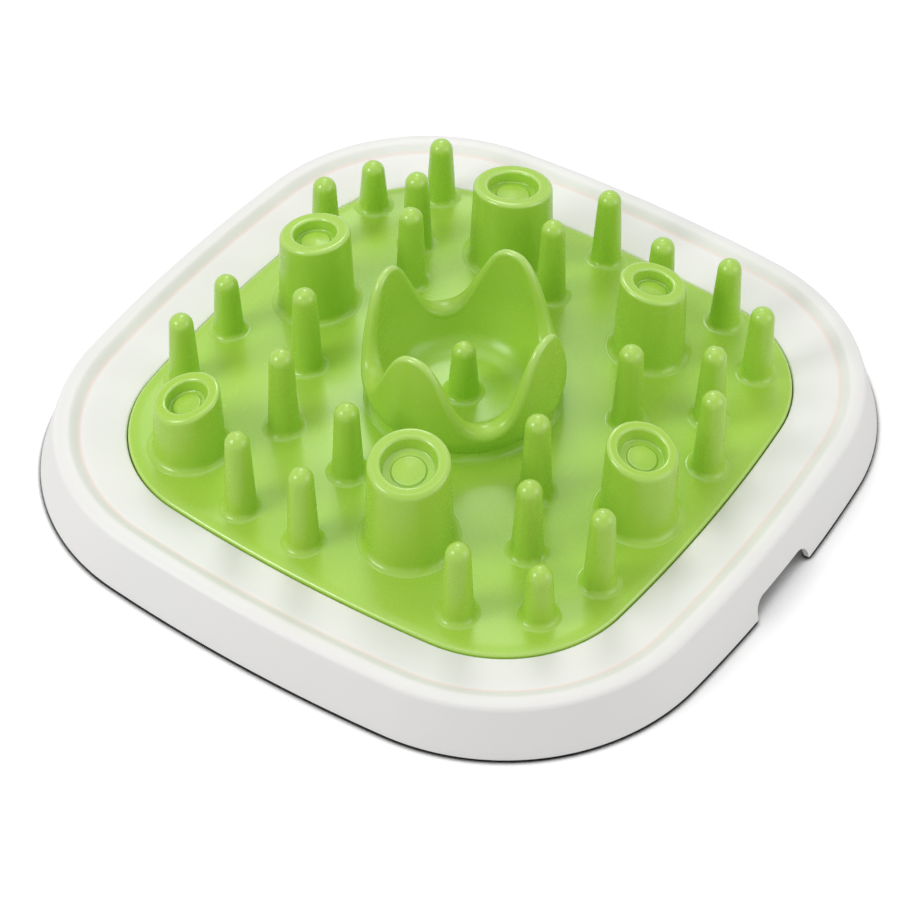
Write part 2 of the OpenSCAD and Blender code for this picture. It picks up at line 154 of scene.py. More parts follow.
class BowlBase(bpy.types.PropertyGroup):
    """Sizes of the white base."""

    side: length("Side", "Length of each side at the foot of the skirt", base_high.x - base_low.x)
    height: length("Height", "Height of the lip above the surface below the feet", base_high.z)
    foot: length("Skirt foot", "Height of the skirt's foot above that surface", base_low.z)
    corner_radius: length("Corner radius", "Radius of the outline's corners", 92 * MM)
    side_radius: length("Side radius", "Radius of the slow curve along each side", 708 * MM)
    lean: length("Lean", "How far the skirt leans in between its foot and its top", 6.3 * MM)
    wall: length("Wall", "Thickness of the shell", 2.4 * MM)
    edge_round: length("Edge radius", "Radius of the edges at the skirt's foot", 0.45 * MM)
    lip_width: length("Lip width", "Width of the lip's top", 5.7 * MM)
    lip_round: length("Lip radius", "Radius of the lip's outer edge", 2.5 * MM)
    lip_height: length("Lip height", "Height of the lip above the flange", 2.4 * MM)
    lip_crown: length("Lip crown", "How far the lip's top swells in the middle", 0.12 * MM)
    slope_width: length("Slope width", "Width of the lip's inner slope", 6 * MM)
    flange_width: length("Flange width", "Width of the flange from the lip to the opening", 17.4 * MM)
    flange_fall: length("Flange fall", "How far the flange falls towards the opening", 3 * MM)
    flange_round: length("Flange radius", "Radius of the flange's edge at the opening", 1 * MM)
    ledge_width: length("Ledge width", "Width of the ledge below the insert", 7.4 * MM)
    ledge_depth: length("Ledge depth", "Depth of the ledge below the flange's edge", 4.4 * MM)
    notch_width: length("Notch width", "Width of each finger notch", 38.5 * MM)
    notch_height: length("Notch height", "Height of each finger notch", 7.5 * MM)
    notch_round: length("Notch radius", "Radius of the finger notches' upper corners", 6.2 * MM)
    notch_foot: length("Notch foot radius", "Radius of the finger notches' lower corners", 0.6 * MM)
    notch_draft: length("Notch draft", "How far each side of a notch leans", 0.4 * MM)
    boss_radius: length("Boss radius", "Radius of the boss above each foot", 7.6 * MM)
    boss_foot: length("Boss foot", "Height of the bosses' lower faces", 2.5 * MM)
    socket_radius: length("Socket radius", "Radius of the socket in each boss", 3.6 * MM)
    socket_depth: length("Socket depth", "Depth of the socket in each boss", 5.1 * MM)
    pad_radius: length("Pad radius", "Radius of each rubber foot", 7 * MM)
    pad_height: length("Pad height", "Thickness of each rubber foot's pad", 2.5 * MM)
    pad_round: length("Pad edge radius", "Radius of each pad's lower edge", 0.8 * MM)
    groove_depth: length("Pad groove", "Depth of the ring grooves under each pad", 0.3 * MM)
    spigot_radius: length("Spigot radius", "Radius of the spigot on each pad", 3.5 * MM)
    spigot_height: length("Spigot height", "Length of the spigot on each pad", 5 * MM)


class BowlInsert(bpy.types.PropertyGroup):
    """Sizes of the green insert's plate."""

    half_width: length("Half width", "Half of the plate's width", (plate_high.x - plate_low.x) / 2)
    level: length("Level", "Height of the plate's edge", rim_high.z + 2.4 * MM)
    gap: length("Gap", "Gap all round between the insert and the base", 0.5 * MM)
    thickness: length("Thickness", "Thickness of the plate", 2.4 * MM)
    rise: length("Rise", "How far the dome rises above the plate's edge", 5.5 * MM)
    dome_radius: length("Dome radius", "Distance from the middle at which the dome ends", 112 * MM)
    blend: length("Blend", "How softly the dome runs out into the border", 0.5 * MM)
    roll: length("Roll", "Width over which the border rolls down to the edge", 4.5 * MM)
    roll_fall: length("Roll fall", "How far the border rolls down", 0.7 * MM)
    edge_round: length("Edge radius", "Radius of the plate's upper edge", 1.3 * MM)
    rim_wall: length("Rim wall", "Thickness of the rim below the plate's edge", 2.4 * MM)
    crown_hole: length("Crown hole", "Radius of the hole in the plate below the crown", 34.8 * MM)


class BowlPosts(bpy.types.PropertyGroup):
    """Sizes of the spikes and stumps."""

    spike_tip: length("Spike tip radius", "Radius of each spike's round tip", 4.9 * MM)
    spike_foot: length("Spike foot radius", "Radius of each spike above its fillet", 6.4 * MM)
    spike_fillet: length("Spike fillet", "Radius of the fillet round each spike's foot", 2.8 * MM)
    spike_wall: length("Spike wall", "Wall of each hollow spike", 2.2 * MM)
    stump_heights: each_stump(
        "Stump heights",
        "Height of the middle of each stump's top above the plate",
        (38, 37, 36.6, 27.5, 41, 34.6),
    )
    stump_radii: each_stump(
        "Stump radii", "Radius of each stump at its top", (16.28, 14.4, 13.5, 13.2, 15.83, 13.88)
    )
    ring_widths: each_stump(
        "Ring widths", "Width of the ring on each stump", (5.7, 5.5, 5.5, 4.9, 4.9, 4.3)
    )
    stump_tilts: each_stump(
        "Stump tilts",
        "Angle by which each stump's top leans outwards",
        (9.5, 8.5, 12.5, 16.5, 11, 12.5),
        scale=math.radians(1),
        unit="ROTATION",
    )
    stump_draft: length("Stump draft", "How much wider each stump is at its foot", 1.4 * MM)
    stump_fillet: length("Stump fillet", "Radius of the fillet round each stump's foot", 3.2 * MM)
    stump_wall: length("Stump wall", "Wall of each hollow stump", 2.4 * MM)
    ring_round: length("Ring radius", "Radius of the ring's outer edge", 2 * MM)
    ring_inner: length("Ring inner radius", "Radius of the ring's inner edge", 1.3 * MM)
    ring_fall: length("Ring fall", "How far the ring's top falls towards the dish", 0.25 * MM)
    dish_depth: length("Dish depth", "Depth of the dish inside each ring", 5.4 * MM)
    dish_slope: length("Dish slope", "Width of the dish's sloping side", 0.9 * MM)
    dish_round: length("Dish radius", "Radius of the corner round each dish's floor", 0.7 * MM)
    button_share: share("Button share", "Width of each dish's button as a share of its stump", 0.42)
    button_height: length("Button height", "Height of the button's edge above the dish", 0.7 * MM)
    button_slope: length("Button slope", "Half of the width of the button's sloping side", 0.3 * MM)
    button_round: length("Button radius", "Radius of the button's edges", 0.9 * MM)
    button_swell: length("Button swell", "How far the button swells in the middle", 0.8 * MM)


class BowlCrown(bpy.types.PropertyGroup):
    """Sizes of the crown and its cup."""

    petals: bpy.props.IntProperty(
        name="Petals", description="Number of petals", default=4, min=3, max=5
    )
    turn: angle("Turn", "Angle by which the crown is turned", 2)
    floor: length("Floor", "Height of the cup's floor", CUP_FLOOR)
    tip_height: length("Tip height", "Height of the petals' tips above the floor", 47 * MM)
    valley_height: length("Valley height", "Height of the valleys above the floor", 15 * MM)
    flatness: share("Flatness", "How much flatter than a wave the petals and the valleys are", 0.07)
    crest_share: share("Crest share", "Height of the round crest as a share of half its wall", 0.55)
    crest_rise: length("Crest rise", "Height of the round crest on top of that share", 0.8 * MM)
    foot_radius: length("Foot radius", "Radius of the crown's outside at its foot", 37.2 * MM)
    belly_radius: length("Belly radius", "Radius of the crown's outside at its belly", 40.7 * MM)
    belly_height: length("Belly height", "Height of the belly above the floor", 12 * MM)
    tip_radius: length("Tip radius", "Radius of the crown's outside at the tips", 37.8 * MM)
    mouth_radius: length("Mouth radius", "Radius of the cup where it is widest", 34.6 * MM)
    mouth_height: length("Mouth height", "Height at which the cup is widest", 26 * MM)
    floor_radius: length("Floor radius", "Radius of the cup's flat floor", 17.5 * MM)
    cup_fillet: length("Cup fillet", "Radius of the fillet round the cup's floor", 12.5 * MM)
    cup_turn: angle("Cup turn", "Angle that the cup's fillet turns through", 65)
    fillet: length("Fillet", "Radius of the fillet round the crown's foot", 3 * MM)
    wall: length("Wall", "Wall of the hollow foot", 2.4 * MM)
    hollow_height: length("Hollow height", "Height of the hollow in the crown's foot", 11.6 * MM)
    spike_tip: length("Cup spike tip radius", "Radius of the cup spike's tip", 4.8 * MM)
    spike_height: length("Cup spike height", "Height of the cup's spike", 26 * MM)


class BowlFinish(bpy.types.PropertyGroup):
    """Colours and surface of the plastics and the rubber."""

    white: colour("White", "Colour of the base", (0.865, 0.862, 0.845))
    # The light colour paints a highlight on the base's outer edges.
    white_highlight: colour("Light white", "Colour of the base's brightened edges", (0.93, 0.93, 0.92))
    # The warm colour paints warm shade and reflected light into the base's inner corners.
    white_warm_shade: colour("Warm white", "Tint in the base's inner corners", (0.92, 0.8, 0.77))
    green: colour("Green", "Colour of the insert", (0.405, 0.665, 0.07))
    # The light green paints a highlight on the insert's outer edges.
    green_highlight: colour("Light green", "Colour of the insert's brightened edges", (0.55, 0.81, 0.2))
    # The deep green paints shade into the insert's fillets.
    green_shade: colour("Deep green", "Colour in the insert's fillets", (0.3, 0.54, 0.035))
    rubber: colour("Rubber", "Colour of the feet", (0.045, 0.047, 0.046))
    white_roughness: share("White roughness", "Roughness of the base", 0.42)
    green_roughness: share("Green roughness", "Roughness of the insert", 0.27)
    rubber_roughness: share("Rubber roughness", "Roughness of the feet", 0.75)
    grain: length("Grain", "Size of the grain that the mould leaves", 0.45 * MM)
    # This share also sets how strongly a pale highlight is painted on the outer edges.
    edge_polish_and_highlight: share("Edge_polish_and_highlight", "How far outer edges are polished and pale", 0.35)


class BowlStage(bpy.types.PropertyGroup):
    """Light, floor and camera."""

    sky: strength("Sky", "Strength of the even light all round", 0.47)
    key: strength("Key lamp", "Power of the large lamp on the left, in watts", 5)
    back: strength("Back lamp", "Power of the small lamp above and behind, in watts", 2.4)
    top: strength("Top lamp", "Power of the large lamp overhead, in watts", 2.9)
    fill: strength("Fill lamp", "Power of the large lamp on the right, in watts", 2.9)
    floor_colour: colour("Floor", "Colour of the floor in the light it throws back", (0.8, 0.8, 0.8))
    floor_lift: share("Floor lift", "Light that the floor adds in the camera's view alone", 0.2)
    azimuth: angle("Azimuth", "The camera's angle round the bowl", 33.640)
    elevation: angle("Elevation", "The camera's angle above the horizon", 45.648)
    roll: angle("Roll", "The camera's turn about its axis", 0.7945)
    distance: length("Distance", "Distance of the camera from the middle of the base", 1180.755 * MM)
    aside: length("Aside", "Shift of the camera to its right", -2.04 * MM, lowest=-1)
    above: length("Above", "Shift of the camera upwards in its picture", -6.81 * MM, lowest=-1)
    lens: strength("Lens", "Focal length in millimetres, for a film 36 mm wide", 114.814)


GROUPS = {
    "bowl_base": BowlBase,
    "bowl_insert": BowlInsert,
    "bowl_posts": BowlPosts,
    "bowl_crown": BowlCrown,
    "bowl_finish": BowlFinish,
    "bowl_stage": BowlStage,
}


# Lines and sections


def arc(centre, radius, start, end, steps):
    """Points on the circle about centre from angle start to angle end, both included."""
    turn = np.linspace(start, end, steps + 1)
    return np.asarray(centre) + radius * np.stack([np.cos(turn), np.sin(turn)], -1)


def unit(vectors):
    """The vectors at length 1."""
    return vectors / np.maximum(np.linalg.norm(vectors, axis=-1, keepdims=True), 1e-9)


def rounded(corners, steps=8):
    """An open line through corners, rows of x, y and a radius, where each gives way to an arc of
    its radius. An arc touches both runs beside it, radius / tan(half the angle between them) from
    the corner, and its points turn evenly from the first touching point to the second about the
    arc's centre."""
    corners, radii = np.hsplit(np.array(corners, float), [2])
    back = unit(np.roll(corners, 1, 0) - corners)
    ahead = unit(np.roll(corners, -1, 0) - corners)
    half = np.maximum(np.arccos(np.clip((back * ahead).sum(1, keepdims=True), -1, 1)) / 2, 1e-3)
    centre = corners + unit(back + ahead) * radii / np.sin(half)
    first = corners + back * radii / np.tan(half) - centre
    last = corners + ahead * radii / np.tan(half) - centre
    turn = np.maximum(math.pi - 2 * half, 1e-6)[:, None]
    t = np.linspace(0, 1, steps + 1)[None, :, None]
    swept = np.sin((1 - t) * turn) * first[:, None] + np.sin(t * turn) * last[:, None]
    return distinct((centre[:, None] + swept / np.sin(turn)).reshape(-1, 2))


def distinct(points):
    """The line without points that repeat the one before."""
    step = np.linalg.norm(np.diff(points, axis=0), axis=1)
    return points[np.append(True, step > 1e-7)]


def divided(points, longest):
    """The line with each run cut into equal pieces no longer than longest."""
    run = np.linalg.norm(np.diff(points, axis=0), axis=1)
    count = np.maximum(np.ceil(run / longest).astype(int), 1)
    part = np.repeat(np.arange(len(count)), count)
    along = (np.arange(count.sum()) - np.repeat(np.cumsum(count) - count, count)) / count[part]
    inner = points[part] + along[:, None] * (points[part + 1] - points[part])
    return np.vstack([inner, points[-1:]])


def smooth(t):
    """Eases from 0 to 1 as t goes from 0 to 1: 3 t squared - 2 t cubed."""
    t = np.clip(t, 0, 1)
    return t * t * (3 - 2 * t)


def mixed(a, b, t):
    """The value a share t of the way from a to b."""
    return a + (b - a) * t


# Surfaces: each is its points and its four-cornered faces


def bands(index):
    """The faces between the rows of a grid of point numbers, where each row is a closed ring."""
    low, high = index[:-1], index[1:]
    return np.stack([low, np.roll(low, -1, 1), np.roll(high, -1, 1), high], -1).reshape(-1, 4)


def skin(grid, loop=False):
    """The surface through a grid of points whose rows are closed rings. loop joins the last row to
    the first. A row that is one point is a pole, and its faces there become triangles."""
    rows, columns = grid.shape[:2]
    index = np.arange(rows * columns).reshape(rows, columns)
    pole = np.ptp(grid, axis=1).max(axis=1) < 1e-9
    index[pole] = index[pole, :1]
    if loop:
        index = np.vstack([index, index[:1]])
    return outward(grid.reshape(-1, 3), bands(index))


def outward(points, faces):
    """The closed surface with its faces turned so that the volume they enclose is positive.
    The volume is the sum over triangles of a . (b x c) / 6."""
    a, b, c, d = (points[faces[:, i]] for i in range(4))
    volume = (a * np.cross(b, c)).sum() + (a * np.cross(c, d)).sum()
    return (points, faces) if volume > 0 else (points, faces[:, ::-1])


def together(surfaces):
    """Several surfaces as one."""
    starts = np.cumsum([0] + [len(points) for points, _ in surfaces[:-1]])
    return (
        np.vstack([points for points, _ in surfaces]),
        np.vstack([faces + start for (_, faces), start in zip(surfaces, starts)]),
    )


def turned(profile, columns):
    """The grid that a line of (distance, height) points makes as it turns once about the Z axis."""
    angle = np.linspace(0, 2 * math.pi, columns, endpoint=False)
    distance, height = profile[:, :1], profile[:, 1:]
    return np.stack(np.broadcast_arrays(distance * np.cos(angle), distance * np.sin(angle), height), -1)


def make_piece(name, surface, material, body, nodes):
    """A smooth mesh object of a surface, which stands for CAD nodes and rides on their body."""
    points, faces = surface
    used, corner = np.unique(faces, return_inverse=True)
    corner = corner.reshape(-1, 4)
    kept = corner != np.roll(corner, -1, 1)
    sides = kept.sum(1)
    mesh = bpy.data.meshes.new(name)
    mesh.vertices.add(len(used))
    mesh.vertices.foreach_set("co", points[used].astype(np.float32).ravel())
    mesh.loops.add(int(sides.sum()))
    mesh.loops.foreach_set("vertex_index", corner[kept].astype(np.int32))
    mesh.polygons.add(len(sides))
    mesh.polygons.foreach_set("loop_start", (np.cumsum(sides) - sides).astype(np.int32))
    mesh.update(calc_edges=True)
    if mesh.validate():
        raise RuntimeError(f"{name} has faces that can't be drawn")
    mesh.shade_smooth()
    bend = bend_of(mesh, points[used])
    mesh.attributes.new("bend", "FLOAT", "POINT").data.foreach_set("value", bend.astype(np.float32))
    mesh.materials.append(material)
    piece = bpy.data.objects.new(name, mesh)
    bpy.context.scene.collection.objects.link(piece)
    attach(piece, body)
    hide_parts(*nodes)
    return piece


def bend_of(mesh, points):
    """How sharply the surface turns at each of the mesh's points, in 1/m: the mean over the point's
    edges of 2 normal . (point - neighbour) / length squared, above zero on an outer edge and below
    it in a fillet."""
    size = len(points)
    ends = np.zeros(2 * len(mesh.edges), np.int32)
    mesh.edges.foreach_get("vertices", ends)
    normals = np.zeros(3 * size, np.float32)
    mesh.vertices.foreach_get("normal", normals)
    normals = normals.reshape(-1, 3)
    a, b = ends.reshape(-1, 2).T
    apart = points[a] - points[b]
    square = np.maximum((apart * apart).sum(1), 1e-12)
    at_a = 2 * (normals[a] * apart).sum(1) / square
    at_b = -2 * (normals[b] * apart).sum(1) / square
    total = np.bincount(a, at_a, size) + np.bincount(b, at_b, size)
    return total / (np.bincount(a, minlength=size) + np.bincount(b, minlength=size))


class Outline:
    """The base's outline from above: four slow side arcs and four corner arcs that run into each
    other. A station is a place on an arc. Its offset to the inside lies on the same radius, so the
    same stations serve every line round the bowl. lift is how far a finger notch raises the skirt's
    foot there."""

    def __init__(self, base, notched=False):
        self.base = base
        self.side = centre = base.side / 2 - base.side_radius
        apart = base.side_radius - base.corner_radius
        self.corner = (centre + math.sqrt(2 * apart**2 - centre**2)) / 2
        self.meet = meet = math.atan2(self.corner, self.corner - centre)
        plain = np.linspace(-meet, meet, SIDE_STATIONS, endpoint=False)
        bends = np.linspace(meet, math.pi / 2 - meet, CORNER_STATIONS, endpoint=False)
        sides = [(plain, 0)] * 4
        if notched:
            sides[0] = sides[2] = self.notch(base, plain)
        rows = []
        for turn, (angles, lift) in enumerate(sides):
            side = np.broadcast_arrays(centre, 0, base.side_radius, angles, lift)
            corner = np.broadcast_arrays(self.corner, self.corner, base.corner_radius, bends, 0)
            x, y, radius, angle, raised = np.hstack([side, corner])
            turned_by = turn * math.pi / 2
            c, s = round(math.cos(turned_by)), round(math.sin(turned_by))
            rows.append([c * x - s * y, s * x + c * y, radius, angle + turned_by, raised])
        x, y, self.radius, angle, self.lift = np.hstack(rows)
        self.centre = np.stack([x, y], -1)
        self.direction = np.stack([np.cos(angle), np.sin(angle)], -1)

    @staticmethod
    def notch(base, plain):
        """Angles along a side with a finger notch, and the height to which the notch raises the
        skirt's foot."""
        half, lean = base.notch_width / 2, base.notch_draft / 2
        corners = [
            [half + lean + 2 * base.wall, 0, 0],
            [half + lean, 0, base.notch_foot],
            [half - lean, base.notch_height, base.notch_round],
        ]
        line = rounded([[-x, z, radius] for x, z, radius in corners] + corners[::-1], steps=10)
        across, height = divided(line, NOTCH_RUN).T
        angles = np.arcsin(across / base.side_radius)
        left, right = plain[plain < angles[0]], plain[plain > angles[-1]]
        lift = np.concatenate([0 * left, height, 0 * right])
        return np.concatenate([left, angles, right]), lift

    def at(self, inset):
        """Points a distance inset to the inside of every station, one row for each row of inset."""
        return self.centre + (self.radius - inset)[..., None] * self.direction

    def inset(self, x, y):
        """Distance to the inside of the outline at points. Every eighth of the outline is like the
        one where 0 <= y <= x, so the points are folded into that one."""
        x, y = np.maximum(abs(x), abs(y)), np.minimum(abs(x), abs(y))
        beside = self.base.side_radius - np.hypot(x - self.side, y)
        behind = self.base.corner_radius - np.hypot(x - self.corner, y - self.corner)
        return np.where(np.arctan2(y, x - self.side) < self.meet, beside, behind)


class Plate:
    """The plate's upper face."""

    def __init__(self, scene):
        self.insert = scene.bowl_insert
        self.outline = Outline(scene.bowl_base)
        self.edge = flange_line(scene.bowl_base)[0][-1] + self.insert.gap

    def dome(self, x, y):
        """Height of the dome, a sphere's cap that stands c above the plate's edge and runs out
        softly into the border: (c + sqrt(c squared + blend squared)) / 2."""
        insert = self.insert
        radius = (insert.dome_radius**2 + insert.rise**2) / (2 * insert.rise)
        cap = np.sqrt(radius**2 - x**2 - y**2) - radius + insert.rise
        return insert.level + (cap + np.sqrt(cap**2 + insert.blend**2)) / 2

    def height(self, x, y):
        """Height of the upper face: the dome, less the fall near the edge."""
        return self.dome(x, y) - self.fall(self.outline.inset(x, y) - self.edge)

    def fall(self, inset):
        """How far the border has rolled down at a distance from the plate's edge: roll_fall times
        the square of the share of the roll that lies behind."""
        return self.insert.roll_fall * np.clip(1 - inset / self.insert.roll, 0, 1) ** 2

    def stand(self, place):
        """The point (x, y) at an angle in degrees and a share of the plate's half width."""
        angle, share = math.radians(place[0]), place[1]
        distance = share * self.insert.half_width
        return distance * math.cos(angle), distance * math.sin(angle)


def post(plate, profile, columns, centre, tilt=0.0):
    """A post's skin on the plate. profile has rows of distance from the axis, height above the
    plate, and lean. A point stands above the plate below it near the foot, and above the plate at
    the axis higher up. lean times tan(tilt) times the outward distance from the axis is taken off
    its height."""
    grid = turned(profile[:, :2], columns)
    x, y = grid[..., 0] + centre[0], grid[..., 1] + centre[1]
    outwards = (grid[..., 0] * centre[0] + grid[..., 1] * centre[1]) / max(math.hypot(*centre), 1e-9)
    near, middle = plate.height(x, y), plate.height(*centre)
    ground = mixed(near, middle, smooth(grid[..., 2] / TILT_ZONE))
    drop = profile[:, 2:] * math.tan(tilt) * outwards
    return skin(np.stack([x, y, grid[..., 2] + ground - drop], -1))


def place(node):
    """The middle of a CAD node's box, seen from above."""
    low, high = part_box(node)
    return (low.x + high.x) / 2, (low.y + high.y) / 2


# Pieces


def flange_line(base):
    """Insets of the lip's inner edge, the slope's end and the opening, and the upper face's heights
    there."""
    insets = np.cumsum([base.lean + base.lip_width, base.slope_width, base.flange_width])
    return insets, np.cumsum([base.height, -base.lip_height, -base.flange_fall])


def base_section(base, lift):
    """Inset and height of the base's section at every station, as a closed line: up the skirt's
    outside, over the lip, down its slope and the flange, round the ledge, back below them and down
    the skirt's inside."""
    low, wall, edge = base.foot + lift, base.wall, base.edge_round
    (inner_lip, flange, opening), (lip_z, flange_z, opening_z) = flange_line(base)
    ledge, ledge_z = opening + base.ledge_width, opening_z - base.ledge_depth
    lean_angle = math.atan2(base.lean, base.height - base.foot)
    lip_centre = [base.lean + base.lip_round, base.height - base.lip_round]
    lip = arc(lip_centre, base.lip_round, math.pi - lean_angle, math.pi / 2, 10)
    t = np.linspace(0, 1, 9)[1:-1]
    swell = base.lip_crown * np.sin(math.pi * t)
    crown = np.stack([mixed(lip[-1, 0], inner_lip, t), lip_z + swell], -1)
    t = np.linspace(0, 1, 13)[1:-1]
    ease = np.stack([mixed(inner_lip, flange, t), lip_z - base.lip_height * smooth(t)], -1)
    under = rounded(
        [
            [flange, flange_z, 0],
            [opening, opening_z, base.flange_round],
            [opening, ledge_z, LEDGE_CORNER],
            [ledge, ledge_z, LEDGE_ROUND],
            [ledge, ledge_z - wall, LEDGE_ROUND],
            [opening - wall, ledge_z - wall, LEDGE_ROUND],
            [opening - wall, opening_z - wall, INNER_ROUND],
            [flange, flange_z - wall, UNDER_ROUND],
            [inner_lip, lip_z - wall, UNDER_ROUND],
            [base.lean + wall, lip_z - wall, INNER_ROUND],
            [mixed(wall, base.lean + wall, INSIDE_TOP), mixed(base.foot, lip_z - wall, INSIDE_TOP), 0],
        ],
        steps=5,
    )
    fixed = divided(np.vstack([lip, crown, ease, under]), BASE_RUN)
    rows = np.linspace(0, 1, 8)[:, None]
    inner_z = mixed(under[-1, 1], low + edge, rows[1:])
    inner = mixed(wall, under[-1, 0], (inner_z - base.foot) / (under[-1, 1] - base.foot))
    outer_z = mixed(low + edge, lip[0, 1], rows[:-1])
    outer = mixed(0, lip[0, 0], (outer_z - base.foot) / (lip[0, 1] - base.foot))
    quarter = np.linspace(0, math.pi / 2, 5)[1:, None]
    in_edge = inner[-1] - edge + edge * np.cos(quarter)
    in_edge_z = low + edge - edge * np.sin(quarter)
    out_edge = outer[0] + edge - edge * np.sin(quarter[:-1])
    out_edge_z = low + edge - edge * np.cos(quarter[:-1])
    wide = np.ones(len(lift))
    inset = np.vstack([outer, fixed[:, :1] * wide, inner, in_edge, out_edge])
    height = np.vstack([outer_z, fixed[:, 1:] * wide, inner_z, in_edge_z, out_edge_z])
    return inset, height


def base_surface(base):
    """The base: its section carried round the outline, and a boss above each foot."""
    outline = Outline(base, notched=True)
    inset, height = base_section(base, outline.lift)
    shell = skin(np.concatenate([outline.at(inset), height[..., None]], -1), loop=True)
    return together([shell] + [boss_surface(base, outline, place(foot)) for foot in FEET])


def boss_surface(base, outline, centre):
    """A boss with a socket for a foot's spigot. Its top follows the middle of the flange's
    thickness, which falls from the lip to the opening."""
    r, s = base.boss_radius, base.socket_radius
    grid = turned(np.array([[0, 1], [r, 1], [r, 0], [s, 0], [s, -1], [0, -1]]), FOOT_COLUMNS)
    x, y = grid[..., 0] + centre[0], grid[..., 1] + centre[1]
    top = np.interp(outline.inset(x, y), *flange_line(base)) - base.wall / 2
    height = np.where(grid[..., 2] > 0.5, top, base.boss_foot)
    height = np.where(grid[..., 2] < -0.5, base.boss_foot + base.socket_depth, height)
    return skin(np.stack([x, y, height], -1))


def foot_surface(base, centre):
    """A rubber foot: its pad has three shallow ring grooves below and a round lower edge, and the
    spigot on it goes into the boss."""
    r, h, edge = base.pad_radius, base.pad_height, base.pad_round
    spigot, top = base.spigot_radius, base.pad_height + base.spigot_height
    distance = np.linspace(0, r - edge, 40)
    grooves = base.groove_depth * smooth(2.2 * np.sin(3 * math.pi * distance / (r - edge)) ** 2 - 0.9)
    side = rounded(
        [
            [r - edge, 0, 0],
            [r, 0, 0.98 * edge],
            [r, h, PAD_TOP],
            [spigot, h, SPIGOT_FOOT],
            [spigot, top, SPIGOT_TOP],
            [0, top, 0],
        ]
    )
    profile = np.vstack([np.stack([distance, grooves], -1), side[1:]])
    return skin(turned(divided(profile, FOOT_RUN), FOOT_COLUMNS) + np.array([*centre, 0]))


def plate_surface(plate, holes):
    """The plate with its rim: a field between the crown's hole and the edge, and a rolled edge with
    a rim. A field point lies on the ray from the middle through its station, a share of the way
    from the hole to the field's end. Its lower face follows its upper one, and holes, rows of x, y
    and radius, go through both."""
    insert, outline, edge = plate.insert, plate.outline, plate.edge
    reach = insert.rim_wall + RIM_BEYOND
    end = outline.at(edge + reach)
    far = np.linalg.norm(end, axis=1)
    along = np.linspace(0, 1, FIELD_ROWS)[:, None]
    field = mixed(insert.crown_hole, far, along)[..., None] * (end / far[:, None])
    rim = rim_grid(plate, reach)
    rows, columns = field.shape[:2]
    size = rows * columns
    index = np.arange(size).reshape(rows, columns)
    flat, quads, first, second = pierced(field.reshape(-1, 2), index, holes)
    upper = np.column_stack([flat, plate.height(flat[:, 0], flat[:, 1])])
    lower = np.column_stack([flat, plate.dome(flat[:, 0], flat[:, 1]) - insert.thickness])
    walls = np.stack([second, first, first + size, second + size], -1)
    around = 2 * size + np.arange(rim.shape[0] * columns).reshape(-1, columns)
    border = bands(np.vstack([index[-1:], around, index[-1:] + size]))
    mouth = bands(np.stack([index[0] + size, index[0]]))
    points = np.vstack([upper, lower, rim.reshape(-1, 3)])
    return outward(points, np.vstack([quads, quads[:, ::-1] + size, walls, border, mouth]))


def rim_grid(plate, reach):
    """The grid from the field's end over the rolled edge, down and up the rim and back below the
    plate."""
    insert = plate.insert
    foot = rim_low.z - insert.level
    drop = rounded(
        [
            [reach, -plate.fall(reach), 0],
            [reach / 2, -plate.fall(reach / 2), 5 * MM],
            [0, -insert.roll_fall, insert.edge_round],
            [0, foot, RIM_EDGE],
            [insert.rim_wall, foot, RIM_EDGE],
            [insert.rim_wall, -insert.thickness, RIM_CORNER],
            [reach, -insert.thickness, 0],
        ]
    )
    drop = divided(drop, RIM_RUN)[1:-1]
    rim = plate.outline.at(plate.edge + drop[:, :1])
    swell = plate.dome(rim[..., 0], rim[..., 1]) - insert.level
    height = insert.level + drop[:, 1:] + (1 - drop[:, 1:] / foot) * swell
    return np.concatenate([rim, height[..., None]], -1)


def pierced(flat, index, holes):
    """A field of flat points with round holes: its points, its faces and the two ends of each edge
    round a hole. The faces whose middles lie in a hole go, and the points round the gap move onto
    its circle."""
    size, border = len(flat), index[[0, -1]]
    quads = bands(index).reshape(-1, index.shape[1], 4)
    away = np.linalg.norm(flat[quads].mean(2)[..., None, :] - holes[:, :2], axis=-1)
    solid = (away > holes[:, 2]).all(-1)
    solid[[0, -1]] = True
    quads = quads[solid]
    first, second = quads.ravel(), np.roll(quads, -1, 1).ravel()
    lone = ~np.isin(first * size + second, second * size + first)
    lone &= ~(np.isin(first, border) & np.isin(second, border))
    first, second = first[lone], second[lone]
    brink = np.unique(first)
    toward = flat[brink][:, None] - holes[:, :2]
    distance = np.linalg.norm(toward, axis=-1)
    nearest = abs(distance - holes[:, 2]).argmin(1)[:, None]
    toward = np.take_along_axis(toward, nearest[..., None], 1)[:, 0]
    stretch = holes[nearest, 2] / np.take_along_axis(distance, nearest, 1)
    flat[brink] = holes[nearest[:, 0], :2] + toward * stretch
    return flat, quads, first, second


def spike_profile(posts, tip_radius, height):
    """Rows of distance, height and lean for a hollow spike: out of the plate in a fillet, up its
    drafted side, over its round tip, and back down the core to just below the plate."""
    foot, fillet, wall = posts.spike_foot, posts.spike_fillet, posts.spike_wall
    draft = math.atan2(foot - tip_radius, height - tip_radius)
    shoulder = foot - height * math.tan(draft)
    tip = shoulder / math.tan((math.pi / 2 - draft) / 2)
    side = [[foot + 2 * fillet, 0, 0], [foot, 0, fillet], [shoulder, height, tip], [0, height, 0]]
    outside = divided(rounded(side, steps=12)[1:], SPIKE_RUN)
    outside[0, 1] = -SUNK
    core = shoulder - wall
    hollow = [[0, height - wall, 0], [core, height - wall, CORE_END * core], [foot - wall, -ROOT, 0]]
    line = np.vstack([divided(rounded(hollow, steps=6), CORE_RUN), outside])
    return np.column_stack([line, 0 * line[:, 0]])


